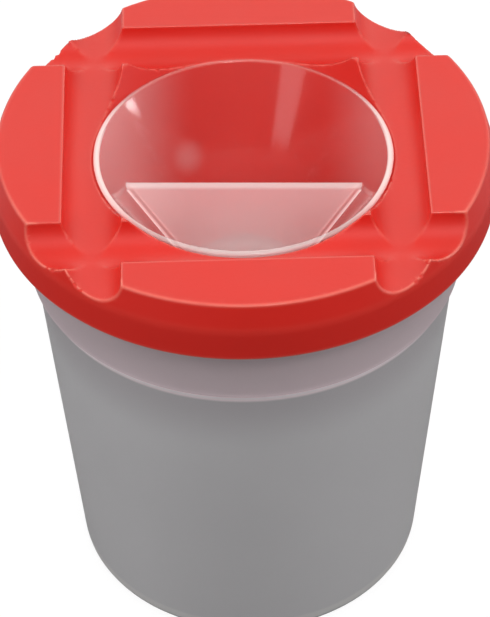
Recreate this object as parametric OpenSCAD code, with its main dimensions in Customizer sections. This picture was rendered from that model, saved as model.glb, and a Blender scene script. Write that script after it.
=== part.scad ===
// Brush washer with lid: a tapered water pot, a press-on lid with four brush rests and a
// funnel, and a nested stopper cone with an upright grip web.
// Millimetres, origin at the middle of the pot's foot, Z up, brush rests along X and Y.

/* [Overall] */
// Height from the foot to the lid's top
total_h = 96.6; // [78:0.1:120]
// Diameter of the lid's skirt
lid_d = 90; // [80:0.5:110]

/* [Lid] */
// Wall thickness of the lid
lid_wall = 1.6; // [1.2:0.1:2.2]
// Height of the whole lid, top face to the lower edge of the skirt
lid_h = 11.5; // [10.8:0.1:16]
// Height of the slanted band below the top face
slant_h = 5; // [3:0.1:6]
// How far the slanted band leans in
slant_in = 1.4; // [0.6:0.1:2.5]
// Bevel on the top and lower edges
lid_bevel = 0.4; // [0.2:0.1:0.8]

/* [Brush rests] */
// Distance of each rest's centre line from the axis
rest_offset = 26.7; // [22:0.1:30]
// Radius of the round groove
rest_r = 5.25; // [4.5:0.05:6]
// Height of the groove's centre above the top face
rest_rise = 0.95; // [0.5:0.05:3]

/* [Funnel and stopper] */
// Diameter of the stopper's rim
rim_d = 54.06; // [50:0.02:66]
// Depth of the rim below the lid's top face
rim_drop = 3.8; // [2:0.1:5]
// Angle of the cone's side from the axis
cone_angle = 30.5; // [24:0.5:34]
// Wall thickness of the stopper
stopper_wall = 1.05; // [0.8:0.05:1.6]
// Depth of the stopper, rim to the outside of its bottom
stopper_h = 30.4; // [22:0.1:33]
// How far the stopper's bottom reaches below the funnel
tip_out = 1.4; // [0.6:0.1:4]
// Depth of the web's top edge below the rim
web_drop = 7.5; // [4:0.1:14]
// Thickness of the web
web_t = 2; // [1.2:0.1:3]
// How far the stopper is turned in the funnel
web_turn = -2.3; // [-45:0.1:45]

/* [Pot] */
// Wall thickness of the pot
pot_wall = 1.3; // [1:0.1:2]
// Thickness of the pot's floor
floor_t = 1.8; // [1.4:0.1:3]
// Taper of the side from the vertical
draft = 4.9; // [2:0.1:6]
// Height of the wider band at the mouth
band_h = 19.85; // [14:0.05:28]
// Width of the ledge under the band
ledge_w = 0.95; // [0.5:0.05:1.5]
// Radius of the rounded foot edge
foot_round = 2.5; // [1.8:0.1:4]
// Depth of the hollow under the foot
foot_recess = 0.6; // [0.3:0.1:0.8]
// Width of the foot's standing edge, rounding included
foot_edge = 4; // [3:0.1:8]
// Radius of the moulding gate's round mark under the foot
gate_r = 2; // [1:0.1:4]
// Height of the gate's mark
gate_h = 0.3; // [0.1:0.05:0.3]

/* [Fit] */
// Room between the stopper and the funnel, square to the cone
cone_gap = 0.2; // [0.15:0.05:0.4]
// Room between the pot's mouth and the underside of the rests
seat_gap = 0.35; // [0.2:0.05:0.6]
// Room at each side of a bead or ring as the lid lifts off
lift_gap = 0.3; // [0.2:0.05:0.5]
// Radius of the round bead at the pot's mouth
bead_r = 1.2; // [1:0.1:1.3]
// How far the bead stands out from the pot's band
bead_out = 1.5; // [1.2:0.1:1.6]
// Depth of the bead's top below the mouth
bead_drop = 0.2; // [0:0.1:1]
// How far the catch inside the skirt stands in
catch_in = 0.5; // [0.3:0.05:0.6]
// Height of the catch
catch_h = 1.2; // [1:0.1:1.4]
// How far the centring ring under the lid reaches into the pot's mouth
ring_reach = 3.7; // [2:0.1:6]
// Wall thickness of the centring ring
ring_wall = 1.2; // [0.8:0.1:1.6]

/* [Hidden] */
$fn = 96;
// How far a cut runs past the face it opens
through = 1;
red = [0.83, 0.16, 0.13];
frosted = [0.75, 0.75, 0.77, 0.6];
pale = [0.9, 0.85, 0.84, 0.6];

lid_r = lid_d / 2;
skirt_z = total_h - lid_h;
slant_z = total_h - slant_h;
slant_slope = slant_in / slant_h;

// Groove centre and the lowest point of the rests' underside
rest_z = total_h + rest_rise;
rest_under_z = rest_z - rest_r - lid_wall;

rim_r = rim_d / 2;
rim_z = total_h - rim_drop;
cone_slope = tan(cone_angle);
stopper_z = rim_z - stopper_h;
funnel_z = stopper_z + tip_out;
funnel_across = lid_wall / cos(cone_angle);

pot_h = rest_under_z - seat_gap;
ledge_z = pot_h - band_h;
pot_slope = tan(draft);
wall_across = pot_wall / cos(draft);

// The bead clears the catch, which stands in from the skirt
catch_r = lid_r - lid_wall - catch_in;
mouth_r = catch_r - lift_gap - bead_out;
bead_x = catch_r - lift_gap - bead_r;
bead_z = pot_h - bead_drop - bead_r;
catch_z = bead_z - bead_r - lift_gap - catch_h;

// Ring on the lid's underside that centres it in the mouth
ring_z = pot_h - ring_reach;
ring_r = band_r(ring_z) - wall_across - lift_gap;

// Outside radius of the pot's band and of its body at a height
function band_r(z) = mouth_r - (pot_h - z) * pot_slope;
function body_r(z) = band_r(z) - ledge_w;

// Outside radius of the stopper's cone, and radius of the funnel's inside
function cone_r(z) = rim_r + (z - rim_z) * cone_slope;
function funnel_r(z) = cone_r(z) + cone_gap / cos(cone_angle);

// Half section of a tapered cup from z0 to z1, its lower edge rounded
module cup_section(r0, z0, z1, round_r) {
    cx = r0 + round_r * pot_slope - round_r / cos(draft);
    polygon([
        [0, z0],
        [cx, z0],
        [cx + round_r * cos(draft), z0 + round_r * (1 - sin(draft))],
        [r0 + (z1 - z0) * pot_slope, z1],
        [0, z1]
    ]);
    translate([cx, z0 + round_r])
        circle(r = round_r);
}

module pot_outside() {
    lip_z = pot_h - pot_wall / 2;
    rotate_extrude()
        cup_section(body_r(0), 0, lip_z, foot_round);
    rotate_extrude()
        polygon([
            [0, ledge_z],
            [band_r(ledge_z), ledge_z],
            [band_r(lip_z), lip_z],
            [0, lip_z]
        ]);
    // Rounded lip and the bead below it
    rotate_extrude()
        translate([band_r(lip_z) - pot_wall / 2, lip_z])
            circle(r = pot_wall / 2);
    rotate_extrude()
        translate([bead_x, bead_z])
            circle(r = bead_r);
}

module pot_inside() {
    step_z = ledge_z + pot_wall;
    rotate_extrude()
        cup_section(
            body_r(floor_t) - wall_across,
            floor_t,
            step_z,
            foot_round - pot_wall / 2
        );
    rotate_extrude()
        polygon([
            [0, step_z - through],
            [body_r(step_z - through) - wall_across, step_z - through],
            [band_r(step_z) - wall_across, step_z],
            [band_r(pot_h + through) - wall_across, pot_h + through],
            [0, pot_h + through]
        ]);
}

module pot() {
    color(frosted) {
        difference() {
            pot_outside();
            pot_inside();
            translate([0, 0, -through])
                cylinder(r = body_r(0) - foot_edge, h = foot_recess + through);
        }
        // Round mark of the moulding gate under the floor
        translate([0, 0, foot_recess - gate_h])
            cylinder(r = gate_r, h = gate_h + floor_t / 2);
    }
}

module rests(r) {
    for (turn = [0 : 90 : 270])
        rotate([0, 0, turn])
            translate([rest_offset, 0, rest_z])
                rotate([90, 0, 0])
                    cylinder(r = r, h = lid_d + 2 * through, center = true);
}

module lid_outside() {
    rotate_extrude()
        polygon([
            [0, skirt_z],
            [lid_r - lid_bevel, skirt_z],
            [lid_r, skirt_z + lid_bevel],
            [lid_r, slant_z],
            [lid_r - slant_in + lid_bevel * slant_slope, total_h - lid_bevel],
            [lid_r - slant_in - lid_bevel, total_h],
            [0, total_h]
        ]);
}

// Hollow of the lid, which keeps the wall under the rests and around the funnel
module lid_inside() {
    ceiling_z = total_h - lid_wall;
    slant_across = lid_wall / cos(atan(slant_slope));
    difference() {
        rotate_extrude()
            polygon([
                [0, skirt_z - through],
                [lid_r - lid_wall, skirt_z - through],
                [lid_r - lid_wall, slant_z],
                [lid_r - slant_in + lid_wall * slant_slope - slant_across, ceiling_z],
                [0, ceiling_z]
            ]);
        rests(rest_r + lid_wall);
    }
}

module funnel_outside() {
    translate([0, 0, funnel_z])
        cylinder(
            r1 = funnel_r(funnel_z) + funnel_across,
            r2 = funnel_r(total_h - lid_bevel) + funnel_across,
            h = total_h - lid_bevel - funnel_z
        );
}

module funnel_inside() {
    low_z = funnel_z - through;
    high_z = total_h + through;
    translate([0, 0, low_z])
        cylinder(r1 = funnel_r(low_z), r2 = funnel_r(high_z), h = high_z - low_z);
}

module lid() {
    color(red)
        difference() {
            union() {
                difference() {
                    lid_outside();
                    lid_inside();
                }
                funnel_outside();
                // Centring ring under the top
                difference() {
                    translate([0, 0, ring_z])
                        cylinder(r = ring_r, h = total_h - lid_wall / 2 - ring_z);
                    translate([0, 0, ring_z - through])
                        cylinder(r = ring_r - ring_wall, h = total_h + 2 * through - ring_z);
                }
                // Catch inside the skirt
                rotate_extrude()
                    polygon([
                        [lid_r - lid_wall / 2, catch_z - catch_in],
                        [lid_r - lid_wall, catch_z - catch_in],
                        [catch_r, catch_z],
                        [catch_r, catch_z + catch_h - catch_in],
                        [lid_r - lid_wall, catch_z + catch_h],
                        [lid_r - lid_wall / 2, catch_z + catch_h]
                    ]);
            }
            rests(rest_r);
            funnel_inside();
        }
}

module stopper() {
    inner_across = stopper_wall / cos(cone_angle);
    floor_z = stopper_z + stopper_wall;
    color(pale)
        rotate([0, 0, web_turn]) {
            rotate_extrude()
                polygon([
                    [0, stopper_z],
                    [cone_r(stopper_z), stopper_z],
                    [rim_r, rim_z],
                    [rim_r - inner_across, rim_z],
                    [cone_r(floor_z) - inner_across, floor_z],
                    [0, floor_z]
                ]);
            // Grip web across the cone
            intersection() {
                translate([-rim_r, -web_t / 2, stopper_z])
                    cube([rim_d, web_t, rim_z - web_drop - stopper_z]);
                translate([0, 0, stopper_z])
                    cylinder(
                        r1 = cone_r(stopper_z) - inner_across / 2,
                        r2 = rim_r - inner_across / 2,
                        h = stopper_h
                    );
            }
        }
}

pot();
lid();
stopper();
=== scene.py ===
import math
import bmesh
import bpy
import numpy as np
from mathutils import Matrix, Vector


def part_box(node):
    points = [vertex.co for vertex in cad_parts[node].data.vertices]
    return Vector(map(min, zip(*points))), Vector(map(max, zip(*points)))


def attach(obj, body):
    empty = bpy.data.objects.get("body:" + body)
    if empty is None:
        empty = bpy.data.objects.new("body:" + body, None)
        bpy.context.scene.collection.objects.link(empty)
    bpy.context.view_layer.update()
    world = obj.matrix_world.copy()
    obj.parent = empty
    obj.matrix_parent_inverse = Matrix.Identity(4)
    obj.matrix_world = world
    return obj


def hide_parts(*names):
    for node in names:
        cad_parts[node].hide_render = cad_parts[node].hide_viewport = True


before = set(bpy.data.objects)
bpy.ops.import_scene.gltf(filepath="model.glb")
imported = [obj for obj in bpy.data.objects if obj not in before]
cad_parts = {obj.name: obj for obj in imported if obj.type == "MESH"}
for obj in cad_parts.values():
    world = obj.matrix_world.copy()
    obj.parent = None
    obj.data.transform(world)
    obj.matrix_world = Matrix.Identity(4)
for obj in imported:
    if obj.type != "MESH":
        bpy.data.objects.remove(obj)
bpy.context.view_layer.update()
mm = 0.001

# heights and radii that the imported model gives, in mm
lidLow, lidHigh = (Vector(corner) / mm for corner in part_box("lid"))
potHigh = Vector(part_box("pot")[1]) / mm
stopLow, stopHigh = (Vector(corner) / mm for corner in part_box("stopper"))

totalH = lidHigh.z
lidR = (lidHigh.x - lidLow.x) / 2
rimZ = stopHigh.z
rimR = (stopHigh.x - stopLow.x) / 2
potH = potHigh.z
print(f"frame: height {totalH:.2f}, lid radius {lidR:.2f}, rim radius {rimR:.2f} at {rimZ:.2f}")


# surfaces from signed distances in mm, negative inside the plastic

def softMax(a, b, width):
    # the larger of two distances, with the edge between them rounded
    near = np.maximum(width - np.abs(a - b), 0)
    return np.maximum(a, b) + near * near / (4 * width)


def softMin(a, b, width):
    return -softMax(-a, -b, width)


def gridLines(low, high, coarse, fine, reach, places):
    # evenly spaced lines, closer together around the named places
    line, lines = low, [low]
    while line < high:
        near = min(abs(line - p) for p in places) if places else reach * 2
        blend = min(1, max(0, (near - reach) / reach))
        line += fine + (coarse - fine) * blend
        lines.append(min(line, high + fine))
    return np.array(lines)


def mirrored(values):
    return sorted([-v for v in values] + list(values))


def netSurface(distance, xs, ys, zs):
    # one vertex per cell that the surface crosses, one quad per grid line that it cuts
    gx, gy, gz = np.meshgrid(xs, ys, zs, indexing="ij")
    field = distance(gx, gy, gz)
    inside = field < 0
    shape = tuple(n - 1 for n in field.shape)
    corners = [(i, j, k) for i in (0, 1) for j in (0, 1) for k in (0, 1)]

    def corner(values, c):
        return values[c[0]:shape[0] + c[0], c[1]:shape[1] + c[1], c[2]:shape[2] + c[2]]

    count = sum(corner(inside, c).astype(np.int8) for c in corners)
    cells = np.argwhere((count > 0) & (count < 8))
    index = -np.ones(shape, dtype=np.int64)
    index[tuple(cells.T)] = np.arange(len(cells))

    grid = (xs, ys, zs)
    total = np.zeros((len(cells), 3))
    crossings = np.zeros(len(cells))
    for a in corners:
        for axis in range(3):
            if a[axis]:
                continue
            b = tuple(a[n] + (n == axis) for n in range(3))
            ia, ib = cells + a, cells + b
            fa, fb = field[tuple(ia.T)], field[tuple(ib.T)]
            cut = (fa < 0) != (fb < 0)
            share = np.where(cut, fa / np.where(cut, fa - fb, 1), 0)
            for n in range(3):
                pa, pb = grid[n][ia[:, n]], grid[n][ib[:, n]]
                total[:, n] += np.where(cut, pa + (pb - pa) * share, 0)
            crossings += cut
    points = total / crossings[:, None]

    quads = []
    for axis in range(3):
        u, v = (axis + 1) % 3, (axis + 2) % 3
        low = [slice(None)] * 3
        high = [slice(None)] * 3
        low[axis], high[axis] = slice(0, -1), slice(1, None)
        startIn, endIn = inside[tuple(low)], inside[tuple(high)]
        for leaving in (True, False):
            edges = np.argwhere((startIn != endIn) & (startIn == leaving))
            edges = edges[(edges[:, u] > 0) & (edges[:, v] > 0)]
            edges = edges[(edges[:, u] < shape[u]) & (edges[:, v] < shape[v])]
            around = []
            for du, dv in ((-1, -1), (0, -1), (0, 0), (-1, 0)):
                cell = edges.copy()
                cell[:, u] += du
                cell[:, v] += dv
                around.append(index[tuple(cell.T)])
            quad = np.stack(around, 1)
            quads.append(quad if leaving else quad[:, ::-1])
    return settle(distance, points, 4), np.concatenate(quads)


def slope(distance, p, step=0.01):
    out = np.zeros_like(p)
    for n in range(3):
        shift = np.zeros(3)
        shift[n] = step
        ahead, behind = p + shift, p - shift
        out[:, n] = (distance(*ahead.T) - distance(*behind.T)) / (2 * step)
    return out


def settle(distance, p, turns, farthest=0.4):
    # moves points along the slope until they lie on the surface
    for _ in range(turns):
        d = distance(*p.T)
        g = slope(distance, p)
        move = g * (d / np.maximum((g * g).sum(1), 0.05))[:, None]
        size = np.linalg.norm(move, axis=1)
        p = p - move * np.minimum(1, farthest / np.maximum(size, 1e-9))[:, None]
    return p


def unitSlope(distance, points):
    normals = slope(distance, points, 0.02)
    return normals / np.maximum(np.linalg.norm(normals, axis=1), 1e-9)[:, None]


def convexity(distance, points, normals, reach):
    # 1 on a sharp outer edge, 0 on flat and hollow places
    side = np.cross(normals, (0.31, 0.52, 0.79))    # any direction that no flat face has
    side /= np.linalg.norm(side, axis=1)[:, None]
    other = np.cross(normals, side)
    total = 0
    for step in (side, -side, other, -other):
        total = total + distance(*(points + step * reach).T)
    return np.clip(total / reach, 0, 1)


def splitEdges(distance, points, faces, reach, longest, turns, sharpFrom=0.15, facing=-0.1):
    # halves the longer mesh edges that lie on a sharp edge in sight from above
    bm = bmesh.new()
    corners = [bm.verts.new(point) for point in points]
    for face in faces:
        bm.faces.new([corners[n] for n in face])
    for _ in range(turns):
        points = np.array([v.co[:] for v in bm.verts])
        normals = unitSlope(distance, points)
        sharp = convexity(distance, points, normals, reach) > sharpFrom
        sharp &= normals[:, 2] > facing
        bm.verts.index_update()
        chosen = [e for e in bm.edges if e.calc_length() > longest
                  and (sharp[e.verts[0].index] or sharp[e.verts[1].index])]
        bmesh.ops.subdivide_edges(bm, edges=chosen, cuts=1, use_grid_fill=True)
        points = settle(distance, np.array([v.co[:] for v in bm.verts]), 2)
        for v, point in zip(bm.verts, points):
            v.co = point
    bm.verts.index_update()
    faces = [[v.index for v in f.verts] for f in bm.faces]
    bm.free()
    print(f"split along the edges: {len(points)} points")
    return points, faces


def makePiece(name, points, faces, material, body, node, normals=None, edges=None):
    mesh = bpy.data.meshes.new(name)
    mesh.from_pydata((points * mm).tolist(), [], [list(map(int, f)) for f in faces])
    mesh.validate()
    for face in mesh.polygons:
        face.use_smooth = True
    if normals is not None and len(mesh.vertices) == len(normals):
        mesh.normals_split_custom_set_from_vertices(normals.tolist())
    if edges is not None and len(mesh.vertices) == len(edges):
        mesh.attributes.new("edge", "FLOAT", "POINT").data.foreach_set("value", edges.astype(np.float32))
    piece = bpy.data.objects.new(name, mesh)
    bpy.context.scene.collection.objects.link(piece)
    mesh.materials.append(material)
    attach(piece, body)
    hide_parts(node)
    print(f"{name}: {len(mesh.vertices)} vertices, {len(mesh.polygons)} faces")


# shader maths as plain expressions

class Value:
    def __init__(self, shader, socket):
        self.shader = shader
        self.socket = socket

    def join(self, operation, other, swap=False):
        pair = (other, self) if swap else (self, other)
        return self.shader.node("ShaderNodeMath", {"operation": operation}, dict(enumerate(pair)))

    def __add__(self, other):
        return self.join("ADD", other)

    __radd__ = __add__

    def __mul__(self, other):
        return self.join("MULTIPLY", other)

    __rmul__ = __mul__

    def __sub__(self, other):
        return self.join("SUBTRACT", other)

    def __rsub__(self, other):
        return self.join("SUBTRACT", other, swap=True)

    def power(self, other):
        return self.join("POWER", other)

    def most(self, other):
        return self.join("MAXIMUM", other)

    def size(self):
        return self.join("ABSOLUTE", 0.0)


def length(*parts):
    # square root of the summed squares
    total = parts[0] * parts[0]
    for part in parts[1:]:
        total = total + part * part
    return total.power(0.5)


class Shader:
    def __init__(self, owner):
        if isinstance(owner, str):
            owner = bpy.data.materials.new(owner)
            owner.use_nodes = True
        self.material = owner
        self.tree = owner.node_tree
        self.surface = self.tree.nodes.get("Principled BSDF")
        self.output = self.tree.nodes.get("Material Output")

    def node(self, kind, settings=None, sockets=None, out=0):
        made = self.tree.nodes.new(kind)
        for key, value in (settings or {}).items():
            setattr(made, key, value)
        for key, value in (sockets or {}).items():
            self.put(made.inputs[key], value)
        return Value(self, made.outputs[out])

    def put(self, socket, value):
        if isinstance(value, Value):
            self.tree.links.new(value.socket, socket)
        else:
            socket.default_value = value

    def set(self, name, value):
        self.put(self.surface.inputs[name], value)

    def blend(self, share, one, other):
        return self.node("ShaderNodeMix", {"data_type": "RGBA"}, {0: share, 6: one, 7: other}, 2)

    def noise(self, place, scale, detail=2.0):
        return self.node("ShaderNodeTexNoise", {}, {"Vector": place, "Scale": scale, "Detail": detail})

    def place(self, out="Object"):
        return self.node("ShaderNodeTexCoord", out=out)

    def rays(self, kind):
        return self.node("ShaderNodeLightPath", out=kind)

    def part(self, vector, n):
        return self.node("ShaderNodeSeparateXYZ", {}, {0: vector}, n)

    def ramp(self, value, low, high):
        # 0 at low, 1 at high, with soft ends
        turned = low > high
        ends = {1: min(low, high), 2: max(low, high), 3: float(turned), 4: float(not turned)}
        return self.node("ShaderNodeMapRange", {"interpolation_type": "SMOOTHSTEP"}, {0: value, **ends})

    def bump(self, height, strength):
        sockets = {"Strength": strength, "Distance": grainDepth, "Height": height}
        self.set("Normal", self.node("ShaderNodeBump", {}, sockets))


black = (0, 0, 0, 1)
white = (1, 1, 1, 1)
plasticIor = 1.49
grainDepth = 0.00008     # metres


# lid

lid = {
    "wall": 1.6,
    "skirtZ": totalH - 11.5,
    "slantZ": totalH - 5.0,
    "slantIn": 1.4,
    "restOffset": 26.7,  # from the axis to each brush rest
    "restR": 5.25,
    "restZ": totalH + 0.95,
    "tipZ": lidLow.z,
    "ringR": 39.18,      # ring that centres the lid in the pot's mouth
    "ringWall": 1.2,
    "ringZ": potH - 3.7,
    "catchR": 1.1,       # rounding of the catch inside the skirt
    "catchIn": 0.5,      # how far it stands in from the skirt
    "catchDeep": 0.6,    # its middle, in from the skirt
    "catchZ": potH - 3.75,
    "edge": 0.30,        # rounding of the top's edges
    "cross": 0.22,       # rounding of the ridges where two rests cross
    "outerEdge": 0.42,   # rounding where the top meets the slanted band
    "bandSoft": 0.25,    # soft turn from the slanted band to the skirt
    "lowEdge": 0.6,      # lower edge of the skirt and tip of the funnel
    "fillet": 0.6,       # hidden corners under the top
    "edgeReach": 0.35,   # how far from an edge the painted edge highlight reaches
    "longest": 0.42,     # longer mesh edges along a sharp edge are halved
}


def coneRadius(z):
    # outside of the stopper's cone at a height
    return rimR + (z - rimZ) * math.tan(stopper["coneAngle"])


def lidDistance(x, y, z):
    r = np.hypot(x, y)
    ax, ay = np.abs(x), np.abs(y)
    lean = math.atan(lid["slantIn"] / (totalH - lid["slantZ"]))
    slant = (r - lidR) * math.cos(lean) + (z - lid["slantZ"]) * math.sin(lean)
    side = softMax(slant, r - lidR, lid["bandSoft"])
    body = softMax(side, z - totalH, lid["outerEdge"])
    body = softMax(body, lid["skirtZ"] - z, lid["lowEdge"])

    # hollow under the top, kept off the rests and the funnel by one wall
    wall = lid["wall"]
    restA = np.hypot(ax - lid["restOffset"], z - lid["restZ"]) - lid["restR"]
    restB = np.hypot(ay - lid["restOffset"], z - lid["restZ"]) - lid["restR"]
    cosine = math.cos(stopper["coneAngle"])
    funnel = (r - coneRadius(z)) * cosine - stopper["gap"]
    hollow = softMax(side + wall, z - totalH + wall, lid["fillet"])
    for kept in (restA, restB, funnel):
        hollow = softMax(hollow, wall - kept, lid["fillet"])
    shell = softMax(body, -hollow, lid["lowEdge"])

    # funnel below the skirt, centring ring and catch
    cone = softMax(funnel - wall, lid["tipZ"] - z, lid["lowEdge"])
    cone = np.maximum(cone, z - totalH + wall)
    half = lid["ringWall"] / 2
    ring = np.abs(r - lid["ringR"] + half) - half
    ring = softMax(ring, lid["ringZ"] - z, lid["lowEdge"])
    ring = np.maximum(ring, z - totalH + half)
    catch = np.hypot(r - lidR + wall + lid["catchDeep"], z - lid["catchZ"]) - lid["catchR"]
    catch = np.maximum(catch, lidR - wall - lid["catchIn"] - r)
    solid = softMin(shell, cone, lid["fillet"])
    solid = softMin(solid, ring, lid["fillet"])
    solid = np.where(r < lidR - wall / 2, np.minimum(solid, catch), solid)

    rests = softMax(-restA, -restB, lid["cross"])
    solid = softMax(solid, rests, lid["edge"])
    return softMax(solid, -funnel, lid["edge"])


redFinish = {
    "tones": ((0.60, 0.012, 0.006, 1), (0.65, 0.015, 0.008, 1)),
    "cloudScale": 60,
    "grainScale": 1400,
    # painted highlight: a light colour on the sharp edges, standing in for the edge glints
    "edgeHighlight": (0.95, 0.27, 0.20, 1),
    "edgeHighlightShare": 0.14,
    "outerShare": 0.50,              # more painted highlight on the outer edges at the front
    "outerFrom": (41.4, 42.6),       # mm from the axis
    "frontFrom": (-8.0, -22.0),
    "roughness": 0.41,
    "cloudRough": 0.10,
    "grainRough": 0.06,
    "edgeHighlightSmooth": 0.32,
    "scatter": 0.15,
    "scatterColour": (1.0, 0.22, 0.15),
    "scatterDepth": 0.0015,
    "cloudBump": 0.6,
    "bump": 0.18,
}


def redPlastic():
    s = Shader("redPlastic")
    finish = redFinish
    at = s.place()
    cloud = s.noise(at, finish["cloudScale"], 3)
    grain = s.noise(at, finish["grainScale"])
    edge = s.node("ShaderNodeAttribute", {"attribute_name": "edge"}, out="Fac")
    x, y = (s.part(at, n) * 1000 for n in range(2))
    outer = s.ramp(length(x, y), *finish["outerFrom"]) * s.ramp(y, *finish["frontFrom"])
    # painted highlight: the edges get a lighter base colour, more of it on the outer edges at the front
    edgeHighlight = edge * (finish["edgeHighlightShare"] + outer * finish["outerShare"])
    s.set("Base Color", s.blend(edgeHighlight, s.blend(cloud, *finish["tones"]), finish["edgeHighlight"]))
    rough = finish["roughness"] + cloud * finish["cloudRough"] + grain * finish["grainRough"]
    s.set("Roughness", rough - edge * finish["edgeHighlightSmooth"])
    s.set("Subsurface Weight", finish["scatter"])
    s.set("Subsurface Radius", finish["scatterColour"])
    s.set("Subsurface Scale", finish["scatterDepth"])
    s.set("IOR", plasticIor)
    s.bump(grain + cloud * finish["cloudBump"], finish["bump"])
    return s.material


# steps of the grid that the lid's surface is made on, in mm
lidGrid = {
    "coarse": 0.95,
    "fineAcross": 0.22,
    "fineUp": 0.16,
    "topStep": 0.4,      # upward, from just under the rests
    "underRests": 0.3,
    "underTop": 0.2,
    "nearAcross": 0.6,   # how far the fine steps reach from an edge
    "nearUp": 0.5,
    "spare": 1.0,        # room around the lid
    "spareTop": 0.6,
}


def makeLid():
    g = lidGrid
    half = math.sqrt(lid["restR"] ** 2 - (lid["restZ"] - totalH) ** 2)
    restEdges = mirrored([lid["restOffset"] - half, lid["restOffset"] + half])
    side = lidR + g["spare"]
    across = gridLines(-side, side, g["coarse"], g["fineAcross"], g["nearAcross"], restEdges)
    restLow = lid["restZ"] - lid["restR"] - g["underRests"]
    edgesLow = [lid["tipZ"], lid["skirtZ"], lid["ringZ"]]
    lower = gridLines(lid["tipZ"] - g["spare"], restLow, g["coarse"], g["fineUp"], g["nearUp"], edgesLow)
    upper = gridLines(restLow + g["topStep"], totalH + g["spareTop"], g["topStep"], g["fineUp"],
                      g["nearUp"], [totalH - g["underTop"]])
    levels = np.concatenate([lower[lower <= restLow], upper])
    points, faces = netSurface(lidDistance, across, across, levels)
    points, faces = splitEdges(lidDistance, points, faces, lid["edgeReach"], lid["longest"], 2)
    normals = unitSlope(lidDistance, points)
    edges = convexity(lidDistance, points, normals, lid["edgeReach"])
    makePiece("redLid", points, faces, redPlastic(), "lid", "lid", normals, edges)


# stopper

stopper = {
    "wall": 1.05,
    "coneAngle": math.radians(30.5),
    "bottomZ": stopLow.z,
    "gap": 0.2,          # room to the funnel
    "webZ": rimZ - 7.5,
    "webT": 1.75,
    "webTurn": math.radians(-2.3),
    "rimTilt": math.radians(24),
    "rimEdge": 0.5,      # rounding of the rim
    "lowEdge": 1.0,      # rounding of the closed bottom
    "webEdge": 0.6,      # rounding of the web's top
    "webFillet": 0.35,   # fillet where the web meets the cone
}


def stopperDistance(x, y, z):
    r = np.hypot(x, y)
    cosine = math.cos(stopper["coneAngle"])
    outside = (r - coneRadius(z)) * cosine
    tilt = stopper["rimTilt"]
    rimTop = (z - rimZ) * math.cos(tilt) + (r - rimR + stopper["wall"] / 2) * math.sin(tilt)
    cup = softMax(outside, rimTop, stopper["rimEdge"])
    cup = softMax(cup, stopper["bottomZ"] - z, stopper["lowEdge"])
    floorZ = stopper["bottomZ"] + stopper["wall"]
    inside = softMax(outside + stopper["wall"], floorZ - z, stopper["lowEdge"])
    shell = softMax(cup, -inside, stopper["rimEdge"])
    web = softMax(np.abs(y) - stopper["webT"] / 2, z - stopper["webZ"], stopper["webEdge"])
    web = np.maximum(web, outside + stopper["wall"] / 2)
    web = np.maximum(web, stopper["bottomZ"] + stopper["wall"] / 2 - z)
    return softMin(shell, web, stopper["webFillet"])


# how milky each part of the stopper is, from clear at 0 to white at 1
milk = {
    "wall": 0.006,
    "side": 0.15,            # left of the cone, made milkier as painted light
    "rightShare": 0.45,      # right of the cone, as a share of the left
    "low": 0.16,             # towards the closed bottom
    "web": 0.33,
    "webTop": 0.38,
    "seam": 0.80,            # where the web meets the cone
    "rim": 0.85,
    "rimBack": 0.95,         # share of it that the rim loses at the back
    "rimFront": 0.62,        # and at the front
    "highlightPatch": 0.07,           # painted highlight: soft lighter patch on the left of the cone
}

# where the milky parts lie, in mm; each pair runs from 0 to full
milkPlaces = {
    "left": (-8.0, -28.0),
    "right": (14.0, 27.0),
    "low": (9.0, 0.0),               # above the bottom
    "nearWeb": (1.15, 1.0),          # from the web's middle plane
    "within": (1.3, 1.6),            # inward from the cone's outside
    "webTop": (-0.75, -0.45),        # from the web's top edge
    "seam": (2.3, 1.5),              # inward from the cone's outside
    "seamStart": (0.5, 0.8),
    "seamTop": (-0.1, -0.6),
    "rimTop": (-0.36, -0.144),       # below the rim's tilted top face
    "rimSide": (-0.85, -0.36),
    "rimSideFront": (14.0, 0.0),
    "rimBack": (4.0, 22.0),
    "rimFront": (-6.0, -24.0),
    "patchMiddle": (-10.3, 15.7, rimZ - 14.0),
    "highlightPatch": (4.2, 0.4),
}

clearFinish = {
    "tones": ((0.94, 0.90, 0.90, 1), (0.98, 0.95, 0.95, 1)),
    "cloudScale": 45,
    "grainScale": 1200,
    "cloudLeast": 0.7,
    "cloudShare": 0.6,
    # pink tint painted in, standing in for red light from the lid
    "rim": (0.97, 0.81, 0.77, 1),
    "paintedGlow": (0.22, 0.11, 0.11, 1),    # painted glow, standing in for light that the milky plastic carries inside
    "webTopLess": 0.6,                   # share of it that the web's top edge loses
    "rimLit": 0.6,                       # shares of it in the rim and the sides
    "leftLit": 0.8,
    "rightLit": 0.4,
    "milkRough": 0.30,
    "glossRough": 0.12,
    "cloudBump": 0.4,
    "bump": 0.12,
}


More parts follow.
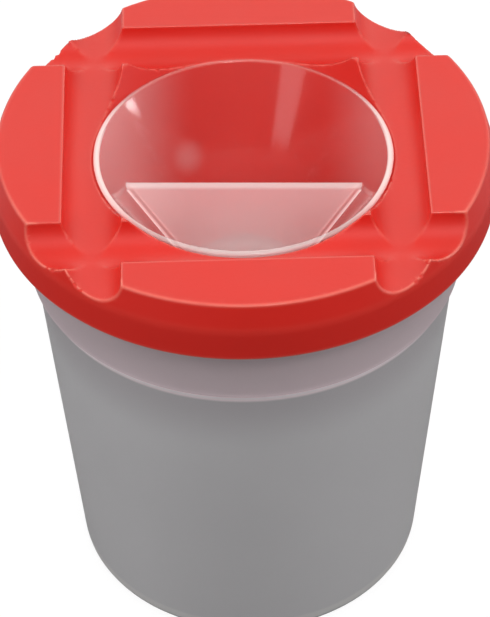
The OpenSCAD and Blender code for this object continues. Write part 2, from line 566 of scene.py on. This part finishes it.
def clearPlastic():
    s = Shader("clearPlastic")
    finish, places = clearFinish, milkPlaces
    at = s.place()
    cloud = s.noise(at, finish["cloudScale"], 3)
    grain = s.noise(at, finish["grainScale"])
    x, y, z = (s.part(at, n) * 1000 for n in range(3))
    r = length(x, y)

    # web and the seams where it meets the cone
    turn = stopper["webTurn"]
    across = (y * math.cos(turn) - x * math.sin(turn)).size()
    inward = rimR + (z - rimZ) * math.tan(stopper["coneAngle"]) - r
    belowTop = z - stopper["webZ"]
    nearWeb = s.ramp(across, *places["nearWeb"])
    web = nearWeb * s.ramp(inward, *places["within"])
    top = s.ramp(belowTop, *places["webTop"])
    seam = s.ramp(inward, *places["seam"]) * s.ramp(inward, *places["seamStart"]) * nearWeb
    seam = seam * s.ramp(belowTop, *places["seamTop"])

    # rim, made fainter at the back and the front as painted shade
    tilt = stopper["rimTilt"]
    topside = (z - rimZ) * math.cos(tilt) + (r - rimR + stopper["wall"] / 2) * math.sin(tilt)
    rimSide = s.ramp(topside, *places["rimSide"]) * s.ramp(y, *places["rimSideFront"])
    rim = s.ramp(topside, *places["rimTop"]).most(rimSide)
    rimBack = s.ramp(y, *places["rimBack"]) * milk["rimBack"]
    rimFront = s.ramp(y, *places["rimFront"]) * milk["rimFront"]
    rim = rim * (1 - rimBack - rimFront)

    # wall of the cone, milkier on the left, less so on the right, and in a soft patch on the left:
    # painted light and a painted highlight
    left = s.ramp(x, *places["left"])
    right = s.ramp(x, *places["right"])
    low = s.ramp(z - stopper["bottomZ"], *places["low"])
    middle = places["patchMiddle"]
    highlightPatch = s.ramp(length(x - middle[0], y - middle[1], z - middle[2]), *places["highlightPatch"])
    alpha = milk["wall"] * (finish["cloudLeast"] + cloud * finish["cloudShare"])
    alpha = alpha + (left + right * milk["rightShare"]) * milk["side"]
    alpha = alpha + low * milk["low"] + highlightPatch * milk["highlightPatch"]
    alpha = alpha + web * (milk["web"] - milk["wall"]) + web * top * (milk["webTop"] - milk["web"])
    s.set("Alpha", alpha.most(seam * milk["seam"]).most(rim * milk["rim"]))

    s.set("Base Color", s.blend(rim, s.blend(cloud, *finish["tones"]), finish["rim"]))
    # painted glow: the web, its seams, the rim and the sides of the cone glow in this colour, standing
    # in for light
    lit = (web * (1 - top * finish["webTopLess"])).most(seam).most(rim * finish["rimLit"])
    lit = lit.most(left * finish["leftLit"]).most(right * finish["rightLit"])
    s.set("Emission Color", s.blend(lit, black, finish["paintedGlow"]))
    s.set("Emission Strength", 1.0)
    s.set("Roughness", finish["milkRough"])
    s.set("Specular IOR Level", 0.0)
    s.bump(grain + cloud * finish["cloudBump"], finish["bump"])

    # clear gloss over all of it, on the outer side of the surface only
    gloss = s.node("ShaderNodeBsdfGlossy", {}, {"Roughness": finish["glossRough"]})
    fresnel = s.node("ShaderNodeFresnel", {}, {"IOR": plasticIor})
    back = s.node("ShaderNodeNewGeometry", out="Backfacing")
    milky = Value(s, s.surface.outputs[0])
    both = s.node("ShaderNodeMixShader", {}, {0: fresnel * (1 - back), 1: milky, 2: gloss})
    s.put(s.output.inputs["Surface"], both)
    return s.material


# steps of the grid that the stopper's surface is made on, in mm
stopperGrid = {
    "coarse": 0.5,
    "coarseUp": 0.55,
    "fineAlong": 0.3,
    "fineAcross": 0.2,
    "fineUp": 0.15,
    "overBottom": 0.5,
    "near": 0.5,         # how far the fine steps reach from an edge
    "nearUp": 0.4,
    "spare": 0.8,        # room around the stopper
    "spareLow": 0.6,
    "spareTop": 0.5,
}


def makeStopper():
    g = stopperGrid
    side = rimR + g["spare"]
    webSides = mirrored([stopper["webT"] / 2])
    along = gridLines(-side, side, g["coarse"], g["fineAlong"], g["near"], [])
    across = gridLines(-side, side, g["coarse"], g["fineAcross"], g["near"], webSides)
    low, high = stopper["bottomZ"] - g["spareLow"], rimZ + g["spareTop"]
    edgesUp = [stopper["bottomZ"] + g["overBottom"], stopper["webZ"], rimZ]
    levels = gridLines(low, high, g["coarseUp"], g["fineUp"], g["nearUp"], edgesUp)
    points, faces = netSurface(stopperDistance, along, across, levels)
    normals = unitSlope(stopperDistance, points)
    c, s = math.cos(stopper["webTurn"]), math.sin(stopper["webTurn"])
    turn = np.array([[c, s, 0], [-s, c, 0], [0, 0, 1]])
    makePiece("clearStopper", points @ turn, faces, clearPlastic(), "stopper", "stopper",
              normals @ turn)


# pot

# its colour in bands, in mm; those at the ledge are measured from the ledge
frostedFinish = {
    "tones": ((0.630, 0.620, 0.636, 1), (0.680, 0.670, 0.686, 1)),
    "cloudScale": 35,
    "grainScale": 1600,
    # painted shade: the body grows darker towards the ledge over the 16 mm below it
    "under": (0.54, 0.515, 0.535, 1),
    "underFrom": (-16.0, -3.0),
    "underShare": 0.9,
    # painted reflected light: pink band above the ledge, standing in for red light from the lid
    "band": (0.66, 0.56, 0.59, 1),
    "bandFrom": (-0.3, 0.5),
    # painted highlight on the ledge's edge
    "ledge": (1.0, 0.90, 0.93, 1),
    "ledgeFrom": (-2.4, -1.6),
    "ledgeTo": (0.1, -0.1),
    # painted glow on the body just below the ledge
    "paintedGlow": (0.068, 0.054, 0.058, 1),
    "carriedFrom": (-2.1, -1.0),
    "carriedTo": (1.2, 0.2),
    # painted highlight: a light band where the side turns into the foot's rounding
    "foot": (0.95, 0.92, 0.89, 1),
    "footFrom": (4.2, 3.3),
    "footShare": 0.35,
    # painted shade: darker towards the very bottom, where the foot turns under
    "low": (0.20, 0.20, 0.21, 1),
    "lowFrom": (2.1, 1.1),
    "lowShare": 0.75,
    "wobble": 0.3,
    "roughness": 0.42,
    "cloudRough": 0.08,
    "grainRough": 0.10,
    "through": 0.35,
    "bump": 0.25,
}


def frostedPlastic():
    s = Shader("frostedPlastic")
    finish = frostedFinish
    at = s.place()
    cloud = s.noise(at, finish["cloudScale"], 3)
    grain = s.noise(at, finish["grainScale"])
    z = s.part(at, 2) * 1000
    overLedge = z - pot["ledgeZ"]

    # painted highlight and glow: the ledge and the body just below it are made light in colour and
    # glowing, standing in for the ledge's edge highlight and the light inside the wall
    ledge = s.ramp(overLedge, *finish["ledgeFrom"]) * s.ramp(overLedge, *finish["ledgeTo"])
    paintedGlow = s.ramp(overLedge, *finish["carriedFrom"]) * s.ramp(overLedge, *finish["carriedTo"])
    s.set("Emission Color", s.blend(paintedGlow, black, finish["paintedGlow"]))
    s.set("Emission Strength", 1.0)

    # painted shade below the ledge
    under = s.ramp(overLedge, *finish["underFrom"]) * finish["underShare"]
    # painted highlight along the foot
    foot = s.ramp(z + cloud * finish["wobble"], *finish["footFrom"]) * finish["footShare"]
    # painted shade at the very bottom
    low = s.ramp(z, *finish["lowFrom"]) * finish["lowShare"]
    tone = s.blend(cloud, *finish["tones"])
    tone = s.blend(under, tone, finish["under"])
    tone = s.blend(s.ramp(overLedge, *finish["bandFrom"]), tone, finish["band"])
    tone = s.blend(foot, tone, finish["foot"])
    tone = s.blend(low, tone, finish["low"])
    s.set("Base Color", s.blend(ledge, tone, finish["ledge"]))
    s.set("Roughness", finish["roughness"] + cloud * finish["cloudRough"] + grain * finish["grainRough"])
    s.set("Transmission Weight", finish["through"])
    s.set("IOR", plasticIor)
    s.bump(grain, finish["bump"])
    return s.material


def roundedLine(corners, steps=6):
    # corners are (r, z, radius); each is turned into an arc that touches both sides
    line = []
    for n, (r, z, radius) in enumerate(corners):
        here = np.array([r, z])
        if radius == 0 or n in (0, len(corners) - 1):
            line.append(here)
            continue
        back = np.array(corners[n - 1][:2]) - here
        on = np.array(corners[n + 1][:2]) - here
        back, on = back / np.linalg.norm(back), on / np.linalg.norm(on)
        half = math.acos(max(-1, min(1, float(back @ on)))) / 2
        reach = radius / math.tan(half)
        middle = (back + on) / np.linalg.norm(back + on)
        centre = here + middle * radius / math.sin(half)
        first, last = here + back * reach - centre, here + on * reach - centre
        sweep = math.pi - 2 * half
        turn = 1 if first[0] * last[1] - first[1] * last[0] > 0 else -1
        for k in range(steps + 1):
            a = turn * sweep * k / steps
            c, s = math.cos(a), math.sin(a)
            line.append(centre + np.array([first[0] * c - first[1] * s, first[0] * s + first[1] * c]))
    return line


def densified(line, most):
    out = [line[0]]
    for a, b in zip(line, line[1:]):
        parts = max(1, math.ceil(np.linalg.norm(b - a) / most))
        out += [a + (b - a) * (k + 1) / parts for k in range(parts)]
    return out


pot = {
    "wall": 1.3,
    "floor": 1.8,
    "draft": math.radians(4.9),
    "ledgeZ": potH - 19.85,
    "ledgeW": 0.95,
    "ledgeEdge": 0.35,   # roundings of the ledge's edge and of the corner inside it
    "ledgeCorner": 0.25,
    "footRound": 2.5,
    "footEdge": 4.0,
    "recess": 0.6,
    "recessSlope": 0.2,
    "mouthR": 41.1,
    "beadR": 1.2,
    "beadOutR": 42.6,
    "beadDrop": 0.2,
    "beadUnder": 0.9,    # roundings of the bead's lower and upper side
    "beadTop": 1.0,
    "beadSlope": 0.1,
    "lipIn": 0.3,        # the lip's outer edge, in from the band
    "lipEdge": 0.4,
    "softEdge": 0.3,     # every other corner
    "segments": 288,
    "longest": 3.0,      # mesh edges up the side are no longer than this
}


def potSection():
    # half section that the pot is turned from, the outside first
    steep = math.tan(pot["draft"])
    across = pot["wall"] / math.cos(pot["draft"])
    soft = pot["softEdge"]

    def bandR(z):
        return pot["mouthR"] - (potH - z) * steep

    def bodyR(z):
        return bandR(z) - pot["ledgeW"]

    beadZ = potH - pot["beadDrop"] - pot["beadR"]
    beadLow, beadHigh = beadZ - pot["beadR"], beadZ + pot["beadR"]
    foot = bodyR(0) - pot["footEdge"]
    stepZ = pot["ledgeZ"] + pot["wall"]
    return roundedLine([
        (0, pot["recess"], 0),
        (foot, pot["recess"], soft),
        (foot + pot["recessSlope"], 0, soft),
        (bodyR(0), 0, pot["footRound"]),
        (bodyR(pot["ledgeZ"]), pot["ledgeZ"], pot["ledgeCorner"]),
        (bandR(pot["ledgeZ"]), pot["ledgeZ"], pot["ledgeEdge"]),
        (bandR(beadLow), beadLow - pot["beadSlope"], soft),
        (pot["beadOutR"], beadLow + pot["beadSlope"], pot["beadUnder"]),
        (pot["beadOutR"], beadHigh, pot["beadTop"]),
        (bandR(potH) - pot["lipIn"], potH, soft),
        (bandR(potH) - across, potH, pot["lipEdge"]),
        (bandR(stepZ) - across, stepZ, soft),
        (bodyR(stepZ - 1) - across, stepZ - 1, soft),
        (bodyR(pot["floor"]) - across, pot["floor"], pot["footRound"] - pot["wall"] / 2),
        (0, pot["floor"], 0),
    ])


def makePot():
    count = pot["segments"] // 1
    points, faces, rings = [], [], []
    for r, z in densified(potSection(), pot["longest"]):
        if r < 1e-6:
            rings.append([len(points)])
            points.append((0, 0, z))
            continue
        rings.append(list(range(len(points), len(points) + count)))
        for k in range(count):
            a = 2 * math.pi * k / count
            points.append((r * math.cos(a), r * math.sin(a), z))
    for low, high in zip(rings, rings[1:]):
        for k in range(count):
            m = (k + 1) % count
            a, b = low[k % len(low)], low[m % len(low)]
            c, d = high[m % len(high)], high[k % len(high)]
            ordered = [a, b, c, d]
            faces.append([v for n, v in enumerate(ordered) if v not in ordered[:n]])
    makePiece("frostedPot", np.array(points), faces, frostedPlastic(), "pot", "pot")


# camera where the photo was taken from, found from the lid's circles and grooves

camera = {
    "distance": 557.07,      # mm from the middle of the stopper's rim
    "elevation": 40.63,      # degrees, as are the next four
    "azimuth": -0.75,
    "tilt": 43.48,
    "yaw": -0.03,
    "roll": -1.06,
    "focalPixels": 3127.8,
    "longSide": 617,
    "sensor": 36.0,          # mm
}


def makeCamera():
    data = bpy.data.cameras.new("photoCamera")
    data.sensor_width = camera["sensor"]
    data.sensor_fit = "AUTO"
    data.lens = camera["focalPixels"] / camera["longSide"] * camera["sensor"]
    data.clip_start = 0.01
    turns = (math.radians(camera[name]) for name in ("elevation", "tilt", "yaw", "roll"))
    up, down, yaw, roll = turns
    around = Matrix.Rotation(math.radians(camera["azimuth"]), 3, "Z")
    place = Vector((0, -math.cos(up), math.sin(up))) * camera["distance"]
    ahead = Vector((math.sin(yaw) * math.cos(down), math.cos(yaw) * math.cos(down), -math.sin(down)))
    right = Vector((math.cos(yaw), -math.sin(yaw), 0))
    top = right.cross(ahead)
    right, top = (right * math.cos(roll) + top * math.sin(roll),
                  top * math.cos(roll) - right * math.sin(roll))
    axes = Matrix((around @ right, around @ top, around @ -ahead)).transposed()
    seat = (around @ place + Vector((0, 0, rimZ))) * mm
    thing = bpy.data.objects.new("photoCamera", data)
    thing.matrix_world = Matrix.Translation(seat) @ axes.to_4x4()
    bpy.context.scene.collection.objects.link(thing)
    bpy.context.scene.camera = thing
    print(f"camera: lens {data.lens:.1f} mm at {tuple(round(v, 4) for v in seat)}")


lampAim = 0.7     # share of the height
lamps = [
    # name, place in metres, width, height, watts, seen in reflections
    ("mainSoftbox", (0.02, -0.66, 0.92), 1.00, 0.80, 4.5, False),
    ("keyLamp", (0.10, -0.62, 0.92), 0.16, 0.16, 1.3, True),
    ("backSoftbox", (0.05, 0.70, 0.80), 1.00, 0.50, 2.4, False),
    ("leftSide", (-0.85, -0.08, 0.22), 0.50, 0.36, 1.8, False),
    ("rightSide", (0.84, -0.16, 0.24), 0.50, 0.36, 1.4, False),
    ("leftHigh", (-0.66, -0.34, 0.72), 0.60, 0.60, 1.8, False),
    ("rightHigh", (0.62, -0.42, 0.72), 0.60, 0.60, 2.0, False),
    ("leftStrip", (-0.49, -0.59, 0.31), 0.24, 0.30, 0.55, True),
    ("smallLamp", (0.75, 0.01, 0.17), 0.09, 0.09, 0.50, True),
]


def makeLamps():
    aim = Vector((0, 0, totalH * mm * lampAim))
    for name, place, width, height, watts, shown in lamps:
        data = bpy.data.lights.new(name, "AREA")
        data.shape = "RECTANGLE"
        data.size = width
        data.size_y = height
        data.energy = watts
        thing = bpy.data.objects.new(name, data)
        thing.location = place
        thing.rotation_euler = (aim - Vector(place)).to_track_quat("-Z", "Y").to_euler()
        thing.visible_glossy = shown
        bpy.context.scene.collection.objects.link(thing)
    print(f"lamps: {len(lamps)}")


# the pairs run from 0 to full: of a direction's height and way back, or of metres on the floor
backdrop = {
    "size": 6.0,
    "paper": (0.13, 0.13, 0.13, 1),
    "paperRough": 0.9,
    "paperGloss": 0.1,
    "glow": 0.90,
    "sheen": 0.50,                   # paper seen in the gloss, behind the pot only
    "sheenFrom": (0.13, 0.21),
    "sheenBehind": (-0.02, 0.08),
    "lowSky": 0.18,                  # light from near the floor
    "overhead": (0.14, 0.37),
    "backSky": 1.1,                  # light from behind, not from overhead
    "backUnder": (0.80, 0.55),
    "backBehind": (-0.2, 0.2),
    "dome": 2.35,                    # what the gloss mirrors overhead and behind
    "domeTint": (1, 0.97, 0.85, 1),
    "domeFrom": (0.34, 0.64),
    "domeBackFrom": (0.0, 0.2),
    "domeBehind": (0.0, 0.4),
}


def makeSky():
    world = bpy.data.worlds.new("studio")
    world.use_nodes = True
    w = Shader(world)
    b = backdrop
    at = w.place("Generated")
    up, away = w.part(at, 2), w.part(at, 1)
    overhead = w.ramp(up, *b["overhead"])
    behind = overhead * w.ramp(up, *b["backUnder"]) * w.ramp(away, *b["backBehind"])
    diffuse = (1 - overhead) * b["lowSky"] + behind * b["backSky"]
    domeBack = w.ramp(up, *b["domeBackFrom"]) * w.ramp(away, *b["domeBehind"])
    dome = w.ramp(up, *b["domeFrom"]).most(domeBack) * b["dome"]
    glossy = w.rays("Is Glossy Ray")
    seen = w.rays("Is Camera Ray").most(w.rays("Is Transmission Ray"))
    light = diffuse + glossy * (dome - diffuse)
    sky = w.tree.nodes["Background"]
    w.put(sky.inputs["Color"], w.blend(glossy, white, b["domeTint"]))
    w.put(sky.inputs["Strength"], light + seen * (1 - light))
    bpy.context.scene.world = world


def paperFloor():
    s = Shader("paperFloor")
    b = backdrop
    s.set("Base Color", b["paper"])
    s.set("Roughness", b["paperRough"])
    s.set("Specular IOR Level", b["paperGloss"])
    at = s.place()
    x, y = (s.part(at, n) for n in range(2))
    far = s.ramp(length(x, y), *b["sheenFrom"]) * s.ramp(y, *b["sheenBehind"])
    seen = s.rays("Is Camera Ray").most(s.rays("Is Transmission Ray"))
    gloss = s.rays("Is Glossy Ray") * far * b["sheen"]
    s.set("Emission Color", s.blend((seen * b["glow"]).most(gloss), black, white))
    s.set("Emission Strength", 1.0)
    return s.material


def makeFloor():
    half = backdrop["size"] / 2
    mesh = bpy.data.meshes.new("floor")
    corners = [(-half, -half, 0), (half, -half, 0), (half, half, 0), (-half, half, 0)]
    mesh.from_pydata(corners, [], [(0, 1, 2, 3)])
    mesh.materials.append(paperFloor())
    floor = bpy.data.objects.new("floor", mesh)
    bpy.context.scene.collection.objects.link(floor)
    print("floor and sky done")


makePot()
makeLid()
makeStopper()
makeCamera()
makeLamps()
makeSky()
makeFloor()
bpy.context.scene.view_settings.view_transform = "Standard"
